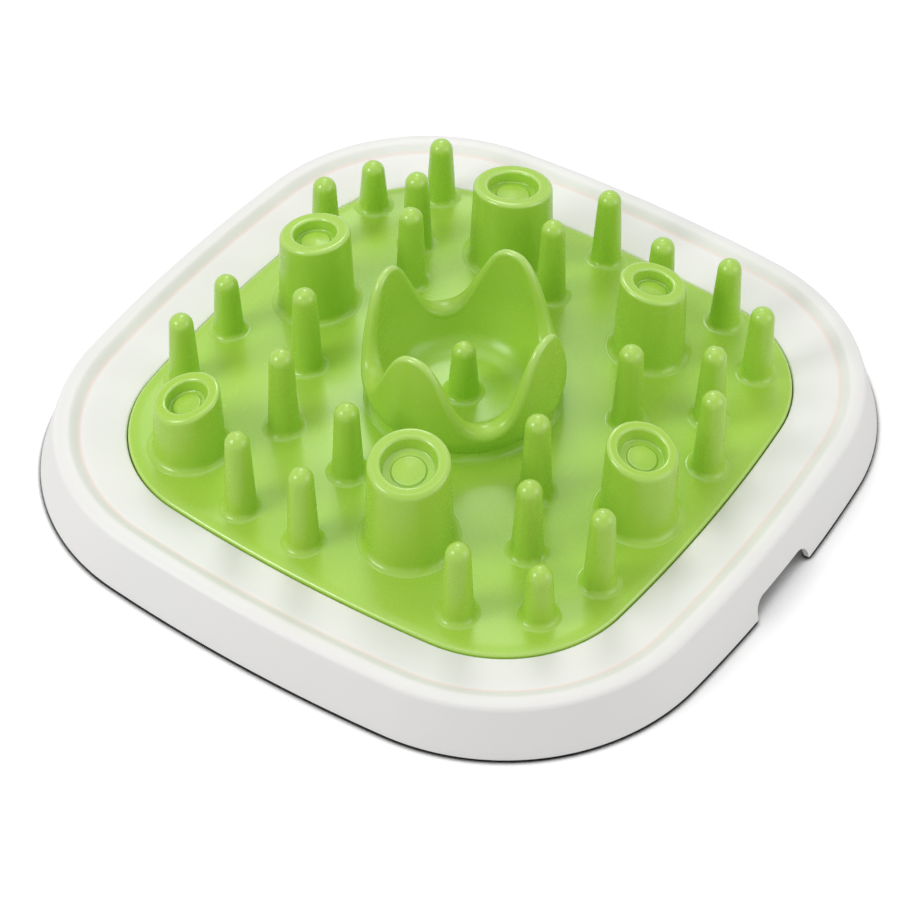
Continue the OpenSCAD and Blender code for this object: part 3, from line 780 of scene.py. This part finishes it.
def spikes_surface(plate, posts):
    """Every spike, as high as its CAD node."""
    made = []
    for node, where in SPIKES.items():
        centre = plate.stand(where)
        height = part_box(node)[1].z - plate.height(*centre)
        profile = spike_profile(posts, posts.spike_tip, height)
        made.append(post(plate, profile, SPIKE_COLUMNS, centre))
    return together(made)


def stump_profile(posts, top_radius, ring_width, height):
    """Rows of distance, height and lean for a hollow stump: the core, a fillet, a drafted side, a
    ring with round edges, and a dish with a low round button in the middle."""
    foot = top_radius + posts.stump_draft
    dish = top_radius - ring_width
    button = posts.button_share * top_radius
    floor = height - posts.dish_depth
    slope = posts.button_slope
    button_edge = floor + posts.button_height
    wall, ceiling = posts.stump_wall, floor - posts.stump_wall
    corners = [[0, ceiling, 0], [top_radius - wall, ceiling, CORE_ROUND], [foot - wall, -ROOT, 0]]
    core = divided(rounded(corners), CORE_RUN)
    outside = rounded(
        [
            [foot + 2 * posts.stump_fillet, 0, 0],
            [foot, 0, posts.stump_fillet],
            [top_radius, height, posts.ring_round],
            [dish, height - posts.ring_fall, posts.ring_inner],
            [dish - posts.dish_slope, floor, posts.dish_round],
            [button + slope, floor, posts.button_round],
            [button - slope, button_edge, posts.button_round],
            [0, button_edge + posts.button_swell, 0],
        ],
        steps=10,
    )[1:]
    outside = divided(outside, STUMP_RUN)
    outside[0, 1] = -SUNK
    rising = np.clip(outside[:, 1] / (height - posts.ring_round), 0, 1)
    rising[outside[:, 1].argmax() :] = 1
    lean = np.concatenate([np.clip(core[:, 1] / ceiling, 0, 1), rising])
    return np.column_stack([np.vstack([core, outside]), lean])


def stumps_surface(plate, posts):
    """Every stump."""
    made = []
    sizes = (posts.stump_radii, posts.ring_widths, posts.stump_heights, posts.stump_tilts)
    for where, radius, ring_width, height, tilt in zip(STUMPS.values(), *sizes):
        profile = stump_profile(posts, radius, ring_width, height)
        made.append(post(plate, profile, STUMP_COLUMNS, plate.stand(where), tilt))
    return together(made)


def crown_outside(crown, height):
    """Radius of the crown's outside at a height: it swells from the foot to the belly, half a
    cosine wave, and draws in to the tips, a quarter of one."""
    out = (1 - np.cos(math.pi * np.clip(height / crown.belly_height, 0, 1))) / 2
    up = np.clip((height - crown.belly_height) / (crown.tip_height - crown.belly_height), 0, 1)
    drawn = (crown.belly_radius - crown.tip_radius) * (1 - np.cos(math.pi / 2 * up))
    return mixed(crown.foot_radius, crown.belly_radius, out) - drawn


def cup_start(crown):
    """Radius and height at which the cup's side leaves the fillet round its floor."""
    fillet, turn = crown.cup_fillet, crown.cup_turn
    return crown.floor_radius + fillet * math.sin(turn), fillet * (1 - math.cos(turn))


def cup_inside(crown, height):
    """Radius of the cup above its fillet: it opens as a quarter of a sine wave up to its full width."""
    start, low = cup_start(crown)
    up = np.clip((height - low) / (crown.mouth_height - low), 0, 1)
    return mixed(start, crown.mouth_radius, np.sin(math.pi / 2 * up))


def crown_surface(plate, crown):
    """The crown: outside wall, round crest, cup and the hollow below. With t = petals x angle, the
    crest's height is middle + swing (cos t - flatness cos 3t) / (1 - flatness). The wall is w thick
    there. From the crest's line the wall's shoulders lie k below it, square to the line as it
    slopes, and a half ellipse of w by k joins them."""
    angle = np.linspace(0, 2 * math.pi, CROWN_COLUMNS, endpoint=False)
    t, flatness = crown.petals * angle, crown.flatness
    middle = (crown.tip_height + crown.valley_height) / 2
    swing = (crown.tip_height - crown.valley_height) / (2 - 2 * flatness)
    crest = middle + swing * (np.cos(t) - flatness * np.cos(3 * t))
    slope = -crown.petals * swing * (np.sin(t) - 3 * flatness * np.sin(3 * t))
    shoulder = crest - 2 * MM  # a first guess, which six rounds settle
    for _ in range(6):
        outer, inner = crown_outside(crown, shoulder), cup_inside(crown, shoulder)
        half, radius = (outer - inner) / 2, (outer + inner) / 2
        drop = crown.crest_share * half + crown.crest_rise
        grade = np.arctan(slope / radius)
        shoulder = crest - drop * np.cos(grade)
    shift = drop * np.sin(grade) / radius
    rise = np.linspace(0, 1, 26)[1:, None]
    wall_z = mixed(crown.fillet, shoulder, rise)
    wall_angle = mixed(angle, angle + shift, smooth(rise))
    turn = np.linspace(0, math.pi, 18)[1:-1, None]
    top_r = radius + half * np.cos(turn)
    top_z = shoulder + drop * np.cos(grade) * np.sin(turn)
    top_angle = angle + shift - shift * np.sin(turn)
    fall = np.linspace(0, 1, 24)[:, None]
    cup_z = mixed(shoulder, cup_start(crown)[1], fall)
    cup_angle = mixed(angle + shift, angle, smooth(fall))
    wide = np.ones(CROWN_COLUMNS)
    foot_r, foot_z = (wide * line[:, None] for line in crown_foot(plate, crown).T)
    end_r, end_z = (wide * line[:, None] for line in crown_end(plate, crown).T)
    r = np.vstack([foot_r, crown_outside(crown, wall_z), top_r, cup_inside(crown, cup_z), end_r])
    z = np.vstack([foot_z, wall_z, top_z, cup_z, end_z]) + crown.floor
    a = np.vstack([angle + 0 * foot_r, wall_angle, top_angle, cup_angle, angle + 0 * end_r])
    a += crown.turn
    return skin(np.stack([r * np.cos(a), r * np.sin(a), z], -1), loop=True)


def crown_foot(plate, crown):
    """The fillet out of the plate, as rows of distance from the axis and height above the cup's
    floor."""
    fillet = crown.fillet
    line = arc([crown.foot_radius + fillet, fillet], fillet, 1.5 * math.pi, math.pi, 10)
    ground = plate.height(line[:, 0], 0) - crown.floor
    line[:, 1] += ground * (1 - smooth(line[:, 1] / fillet)) - SUNK * (line[:, 1] < 1e-9)
    return line


def crown_end(plate, crown):
    """The rest of the crown's section below the cup's side, as rows of distance and height above
    the cup's floor: the fillet, the floor, back below them, and the hollow foot down to its lower
    end."""
    wall, hole, top = crown.wall, crown.spike_tip, crown.hollow_height
    centre, steepest = [crown.floor_radius, crown.cup_fillet], crown.cup_turn - math.pi / 2
    fillet = arc(centre, crown.cup_fillet, steepest, -math.pi / 2, 14)
    corners = [[crown.floor_radius, 0], [hole, 0], [hole, -wall], [crown.floor_radius, -wall]]
    floor = divided(np.array(corners), CUP_RUN)
    below = arc(centre, crown.cup_fillet + wall, -math.pi / 2, steepest, 10)
    hollow = [[cup_inside(crown, top) + wall, top], [crown_outside(crown, top) - wall, top]]
    down = np.linspace(top, 0, 8)[1:]
    inside = np.stack([crown_outside(crown, down) - wall, down], -1)
    lowest = plate.height(crown.foot_radius, 0) - crown.floor - CROWN_ROOT
    end = [[crown.foot_radius - wall, lowest]]
    return np.vstack([fillet[1:], floor[1:], below[1:], hollow, inside, end])


def cup_spike_surface(crown, posts):
    """The spike on the cup's flat floor."""
    profile = spike_profile(posts, crown.spike_tip, crown.spike_height)
    return skin(turned(profile[:, :2], CUP_SPIKE_COLUMNS) + np.array([0, 0, crown.floor]))


# Materials


class Term:
    """A socket that takes part in sums. Each operator adds one Math node to the socket's material."""

    def __init__(self, shader, socket):
        self.shader, self.socket = shader, socket

    def __add__(self, other):
        return self.shader.math("ADD", self, other)

    def __sub__(self, other):
        return self.shader.math("SUBTRACT", self, other)

    def __rsub__(self, other):
        return self.shader.math("SUBTRACT", other, self)

    def __mul__(self, other):
        return self.shader.math("MULTIPLY", self, other)

    def __neg__(self):
        return self * -1

    __radd__, __rmul__ = __add__, __mul__

    def between(self, low, high):
        """0 up to low, 1 from high, and an easy curve in between."""
        inputs = {0: self, 1: low, 2: high}
        return self.shader.node("ShaderNodeMapRange", inputs, interpolation_type="SMOOTHSTEP")


class Shader:
    """The nodes of a material or of the sky, under construction."""

    def __init__(self, owner):
        self.owner = owner
        owner.use_nodes = True
        self.tree = owner.node_tree
        self.tree.nodes.clear()

    def node(self, kind, inputs=None, output=0, **settings):
        """Adds a node, makes its settings, then gives its sockets values or links. Returns one
        output."""
        node = self.tree.nodes.new(kind)
        for key, value in settings.items():
            setattr(node, key, value)
        for key, value in (inputs or {}).items():
            if isinstance(value, Term):
                self.tree.links.new(value.socket, node.inputs[key])
            else:
                node.inputs[key].default_value = value
        return Term(self, node.outputs[output]) if len(node.outputs) else None

    def math(self, operation, a, b):
        """A sum or a product, as operation says."""
        return self.node("ShaderNodeMath", {0: a, 1: b}, operation=operation)

    def blend(self, factor, a, b):
        """The colour a share factor of the way from a to b."""
        return self.node("ShaderNodeMix", {0: factor, 6: a, 7: b}, 2, data_type="RGBA")

    def noise(self, vector, scale, detail=2.0, roughness=0.5):
        """Cloudy noise from 0 to 1, about scale patches to the metre."""
        inputs = {"Vector": vector, "Scale": scale, "Detail": detail, "Roughness": roughness}
        return self.node("ShaderNodeTexNoise", inputs)

    def where(self):
        """The place on the piece, in metres."""
        return self.node("ShaderNodeTexCoord", output="Object")

    def bend(self):
        """How sharply the surface turns, in 1/m."""
        return self.node("ShaderNodeAttribute", output="Fac", attribute_name="bend")

    def bump(self, strength, distance, height):
        """The surface's direction, as a height from 0 to 1 tips it."""
        return self.node(
            "ShaderNodeBump", {"Strength": strength, "Distance": distance, "Height": height}
        )

    def ray(self, kind):
        """1 for one kind of ray, and 0 for the others."""
        return self.node("ShaderNodeLightPath", output=f"Is {kind} Ray")

    def finish(self, surface, output="ShaderNodeOutputMaterial"):
        """Leads a surface to the output, and returns what the nodes belong to."""
        self.node(output, {"Surface": surface})
        return self.owner


def moulded(name, finish, colours, roughness, bump, crease_shade_share, sharp, gloss):
    """Moulded plastic: slow changes of tone, outer edges polished smoother and painted paler as a
    highlight, fillets painted with a crease colour as shade, faint rubbed streaks and the fine grain of
    the mould. colours are the plain one, the pale one of the painted highlight and the crease one of
    the painted shade. A fillet has its full painted shade, crease_shade_share, where its bend is sharp,
    and edges and fillets have a share gloss of clear coat."""
    shader = Shader(bpy.data.materials.new(name))
    plain, pale, crease_shade_colour = ((*colour, 1) for colour in colours)
    where, bend = shader.where(), shader.bend()
    outer, inner = bend.between(60.0, 420.0), (-bend).between(sharp / 8, sharp)
    # The outer mask paints a pale highlight on outer edges and also polishes them; the inner mask
    # paints shade in the crease colour into fillets.
    edge, crease_shade_mask = outer * finish.edge_polish_and_highlight, inner * crease_shade_share
    cloud = shader.noise(where, 14.0, 3.0)
    tone = shader.blend(cloud.between(0.3, 0.7) * 0.12, plain, crease_shade_colour)
    # Painted light: fillets take the crease colour as shade, and outer edges the pale colour as a
    # highlight.
    tone = shader.blend(edge, shader.blend(crease_shade_mask, tone, crease_shade_colour), pale)
    streaks = {"Vector": where, "Scale": (260.0, 90.0, 420.0), "Rotation": (0.3, 0.2, 0.7)}
    rubbed = shader.noise(shader.node("ShaderNodeMapping", streaks), 1.0, 4.0, 0.65).between(0.62, 0.74)
    grain = shader.noise(where, 1 / finish.grain, 2.0)
    rough = roughness + rubbed * 0.05 + (grain - 0.5) * 0.06 + (cloud - 0.5) * 0.05
    inputs = {
        "Base Color": tone,
        "Roughness": rough - edge * 0.08 + crease_shade_mask * 0.06,
        "Normal": shader.bump(0.35, bump, grain + rubbed * 0.3),
        "IOR": 1.5,
    }
    if gloss:
        inputs |= {"Coat Weight": (outer + inner) * gloss, "Coat Roughness": 0.1}
    return shader.finish(shader.node("ShaderNodeBsdfPrincipled", inputs))


def rubber_material(finish):
    """Matt rubber with a powdery grain and dust, and pads that are paler along their outer edges."""
    shader = Shader(bpy.data.materials.new("foot_rubber"))
    where, bend = shader.where(), shader.bend()
    grain = shader.noise(where, 3 / finish.grain, 3.0)
    dust = shader.noise(where, 160.0, 4.0).between(0.45, 0.75)
    grey = (*(min(1, 2.2 * c + 0.02) for c in finish.rubber), 1)
    pale = dust * 0.35 + bend.between(100.0, 500.0) * 0.3
    inputs = {
        "Base Color": shader.blend(pale, (*finish.rubber, 1), grey),
        "Roughness": finish.rubber_roughness + (grain - 0.5) * 0.2,
        "Normal": shader.bump(0.5, 0.05 * MM, grain),
        "IOR": 1.52,
    }
    return shader.finish(shader.node("ShaderNodeBsdfPrincipled", inputs))


def white_plastic(finish):
    """Matt plastic with painted warm shade and reflected light in its inner corners, and a painted
    highlight on its outer edges.
    """
    colours = finish.white, finish.white_highlight, finish.white_warm_shade
    rough, bump = finish.white_roughness, 0.03 * MM
    return moulded("base_plastic", finish, colours, rough, bump, crease_shade_share=0.85, sharp=100, gloss=0)


def green_plastic(finish):
    """Shiny plastic with painted shade, a deeper green, in its fillets, and a painted highlight on its
    outer edges. Every piece of the insert shares it.
    """
    colours = finish.green, finish.green_highlight, finish.green_shade
    rough, bump = finish.green_roughness, 0.015 * MM
    return bpy.data.materials.get("insert_plastic") or moulded(
        "insert_plastic", finish, colours, rough, bump, crease_shade_share=0.5, sharp=320, gloss=0.9
    )


def floor_material(stage):
    """Pale floor that takes the bowl's shadow. The camera sees it white, with a little light added,
    which grows with the distance from the bowl, but with a painted dark shadow, drawn from ambient
    occlusion, in the narrow gap under the skirt and inside the finger notches. From below it is clear."""
    shader = Shader(bpy.data.materials.new("stage_floor"))
    # The second colour is that of the painted shadow under the skirt and in the notches.
    white, painted_shadow_colour = (1, 1, 1, 1), (0.03, 0.03, 0.03, 1)
    seen = shader.ray("Camera")
    beside, below = (
        shader.node("ShaderNodeAmbientOcclusion", {"Distance": reach}, "AO", samples=8)
        for reach in (3 * MM, 80 * MM)
    )
    # Painted shadow: the floor's colour goes dark where ambient occlusion finds the skirt close beside
    # it and the shell above it.
    gap = seen * (1 - beside.between(0.6, 0.93) * (0.25 + below.between(0.35, 0.68) * 0.75))
    tone = shader.blend(gap, shader.blend(seen, (*stage.floor_colour, 1), white), painted_shadow_colour)
    diffuse = shader.node("ShaderNodeBsdfDiffuse", {"Color": tone})
    away = shader.node("ShaderNodeVectorMath", {0: shader.where()}, "Value", operation="LENGTH")
    lift = stage.floor_lift + away.between(0.22, 0.7) * 0.5
    glow = shader.node("ShaderNodeEmission", {"Color": white, "Strength": (seen - gap) * lift})
    lit = shader.node("ShaderNodeAddShader", {0: diffuse, 1: glow})
    behind = shader.node("ShaderNodeNewGeometry", output="Backfacing")
    clear = shader.node("ShaderNodeBsdfTransparent")
    return shader.finish(shader.node("ShaderNodeMixShader", {0: behind, 1: lit, 2: clear}))


# Operators


def insert_piece(scene, name, surface, nodes):
    """A piece of the green insert, which stands for CAD nodes."""
    make_piece(name, surface, green_plastic(scene.bowl_finish), "insert", nodes)
    return {"FINISHED"}


class BOWL_OT_base(bpy.types.Operator):
    """Builds the white base with its finger notches and bosses"""

    bl_idname = "bowl.base"
    bl_label = "Base"

    def execute(self, context):
        scene = context.scene
        surface, plastic = base_surface(scene.bowl_base), white_plastic(scene.bowl_finish)
        make_piece("white_base", surface, plastic, "base", ["base_frame"])
        return {"FINISHED"}


class BOWL_OT_feet(bpy.types.Operator):
    """Builds the four rubber feet"""

    bl_idname = "bowl.feet"
    bl_label = "Feet"

    def execute(self, context):
        scene = context.scene
        surface = together([foot_surface(scene.bowl_base, place(foot)) for foot in FEET])
        rubber = rubber_material(scene.bowl_finish)
        make_piece("rubber_feet", surface, rubber, "base", FEET)
        return {"FINISHED"}


class BOWL_OT_plate(bpy.types.Operator):
    """Builds the insert's domed plate with its rim, open below every post"""

    bl_idname = "bowl.plate"
    bl_label = "Plate"

    def execute(self, context):
        scene = context.scene
        posts, plate = scene.bowl_posts, Plate(scene)
        cores = [posts.spike_foot - posts.spike_wall] * len(SPIKES)
        cores += [radius + posts.stump_draft - posts.stump_wall for radius in posts.stump_radii]
        spots = [*SPIKES.values(), *STUMPS.values()]
        holes = np.array([[*plate.stand(spot), radius] for spot, radius in zip(spots, cores)])
        surface = plate_surface(plate, holes)
        return insert_piece(scene, "insert_plate_skin", surface, ["insert_plate", "insert_rim"])


class BOWL_OT_crown(bpy.types.Operator):
    """Builds the crown with its petals and cup"""

    bl_idname = "bowl.crown"
    bl_label = "Crown"

    def execute(self, context):
        scene = context.scene
        surface = crown_surface(Plate(scene), scene.bowl_crown)
        return insert_piece(scene, "crown_skin", surface, ["crown"])


class BOWL_OT_cup_spike(bpy.types.Operator):
    """Builds the spike in the middle of the cup"""

    bl_idname = "bowl.cup_spike"
    bl_label = "Cup spike"

    def execute(self, context):
        scene = context.scene
        surface = cup_spike_surface(scene.bowl_crown, scene.bowl_posts)
        return insert_piece(scene, "cup_spike_skin", surface, ["centre_spike"])


class BOWL_OT_stumps(bpy.types.Operator):
    """Builds the six stumps with their rings and dishes"""

    bl_idname = "bowl.stumps"
    bl_label = "Stumps"

    def execute(self, context):
        scene = context.scene
        surface = stumps_surface(Plate(scene), scene.bowl_posts)
        return insert_piece(scene, "stump_skins", surface, STUMPS)


class BOWL_OT_spikes(bpy.types.Operator):
    """Builds the spikes round the crown"""

    bl_idname = "bowl.spikes"
    bl_label = "Spikes"

    def execute(self, context):
        scene = context.scene
        surface = spikes_surface(Plate(scene), scene.bowl_posts)
        return insert_piece(scene, "spike_skins", surface, SPIKES)


class BOWL_OT_stage(bpy.types.Operator):
    """Sets up the floor, the light and the camera"""

    bl_idname = "bowl.stage"
    bl_label = "Stage"

    def execute(self, context):
        scene, stage = context.scene, context.scene.bowl_stage
        scene.view_settings.view_transform = "Standard"
        self.floor(scene, stage)
        self.sky(scene, stage)
        right = np.array([math.cos(stage.azimuth), math.sin(stage.azimuth), 0])
        near = np.array([math.sin(stage.azimuth), -math.cos(stage.azimuth), 0])
        up = np.array([0, 0, 1.0])
        for name, (aside, towards, above, size) in LAMPS.items():
            location = aside * right + towards * near + above * up
            self.lamp(scene, f"{name}_lamp", location, size, getattr(stage, name))
        self.camera(scene, stage)
        return {"FINISHED"}

    @staticmethod
    def floor(scene, stage):
        """A wide floor, level with the feet's lower faces."""
        lines = np.linspace(-FLOOR_WIDTH / 2, FLOOR_WIDTH / 2, 7)
        x, y = np.meshgrid(lines, lines)
        points = np.stack([x, y, 0 * x], -1).reshape(-1, 3)
        index = np.arange(x.size).reshape(x.shape)
        faces = np.stack([index[:-1, :-1], index[:-1, 1:], index[1:, 1:], index[1:, :-1]], -1)
        mesh = bpy.data.meshes.new("stage_floor")
        mesh.from_pydata(points.tolist(), [], faces.reshape(-1, 4).tolist())
        mesh.materials.append(floor_material(stage))
        floor = bpy.data.objects.new("stage_floor", mesh)
        scene.collection.objects.link(floor)

    @staticmethod
    def sky(scene, stage):
        """An even sky: white where the camera or a reflection sees it, and softer as a light."""
        scene.world = scene.world or bpy.data.worlds.new("World")
        shader = Shader(scene.world)
        direct = shader.ray("Camera") + shader.ray("Glossy") + shader.ray("Transmission")
        strength = stage.sky + direct.between(0.0, 1.0) * (1 - stage.sky)
        sky = shader.node("ShaderNodeBackground", {"Color": (1, 1, 1, 1), "Strength": strength})
        shader.finish(sky, "ShaderNodeOutputWorld")

    @staticmethod
    def lamp(scene, name, location, size, power):
        """A square lamp that faces the bowl."""
        data = bpy.data.lights.new(name, "AREA")
        data.size = size
        data.energy = power
        lamp = bpy.data.objects.new(name, data)
        scene.collection.objects.link(lamp)
        lamp.location = location
        lamp.rotation_euler = (-lamp.location).to_track_quat("-Z", "Y").to_euler()

    @staticmethod
    def camera(scene, stage):
        """The camera at the photograph's angle, aimed at the middle of the base and then shifted a
        little."""
        a, e, r = stage.azimuth, stage.elevation, stage.roll
        back = np.array([math.sin(a) * math.cos(e), -math.cos(a) * math.cos(e), math.sin(e)])
        right = np.array([math.cos(a), math.sin(a), 0])
        up = np.cross(back, right)
        location = stage.aside * right + stage.above * up + stage.distance * back
        right, up = math.cos(r) * right + math.sin(r) * up, math.cos(r) * up - math.sin(r) * right
        data = bpy.data.cameras.new("camera")
        data.lens, data.sensor_width = stage.lens, FILM_WIDTH
        data.clip_start, data.clip_end = 0.01, 20
        camera = bpy.data.objects.new("camera", data)
        scene.collection.objects.link(camera)
        axes = np.column_stack([right, up, back, location])
        camera.matrix_world = Matrix([*axes.tolist(), [0, 0, 0, 1]])
        scene.camera = camera


class BOWL_PT_panel(bpy.types.Panel):
    """Lists the bowl's sizes and its build steps."""

    bl_idname = "BOWL_PT_panel"
    bl_label = "Slow Feeder Bowl"
    bl_space_type = "VIEW_3D"
    bl_region_type = "UI"
    bl_category = "Bowl"

    def draw(self, context):
        for name, group in GROUPS.items():
            box = self.layout.box()
            box.label(text=group.__doc__)
            for key in group.__annotations__:
                box.prop(getattr(context.scene, name), key)
        for operator in OPERATORS:
            self.layout.operator(operator.bl_idname)


OPERATORS = (
    BOWL_OT_base,
    BOWL_OT_feet,
    BOWL_OT_plate,
    BOWL_OT_crown,
    BOWL_OT_cup_spike,
    BOWL_OT_stumps,
    BOWL_OT_spikes,
    BOWL_OT_stage,
)
CLASSES = (*GROUPS.values(), *OPERATORS, BOWL_PT_panel)


def register():
    for cls in CLASSES:
        bpy.utils.register_class(cls)
    for name, group in GROUPS.items():
        setattr(bpy.types.Scene, name, bpy.props.PointerProperty(type=group))


def unregister():
    for name in GROUPS:
        delattr(bpy.types.Scene, name)
    for cls in reversed(CLASSES):
        bpy.utils.unregister_class(cls)


def main():
    register()
    bpy.ops.bowl.base()
    bpy.ops.bowl.feet()
    bpy.ops.bowl.plate()
    bpy.ops.bowl.crown()
    bpy.ops.bowl.cup_spike()
    bpy.ops.bowl.stumps()
    bpy.ops.bowl.spikes()
    bpy.ops.bowl.stage()


if __name__ == "__main__":
    main()
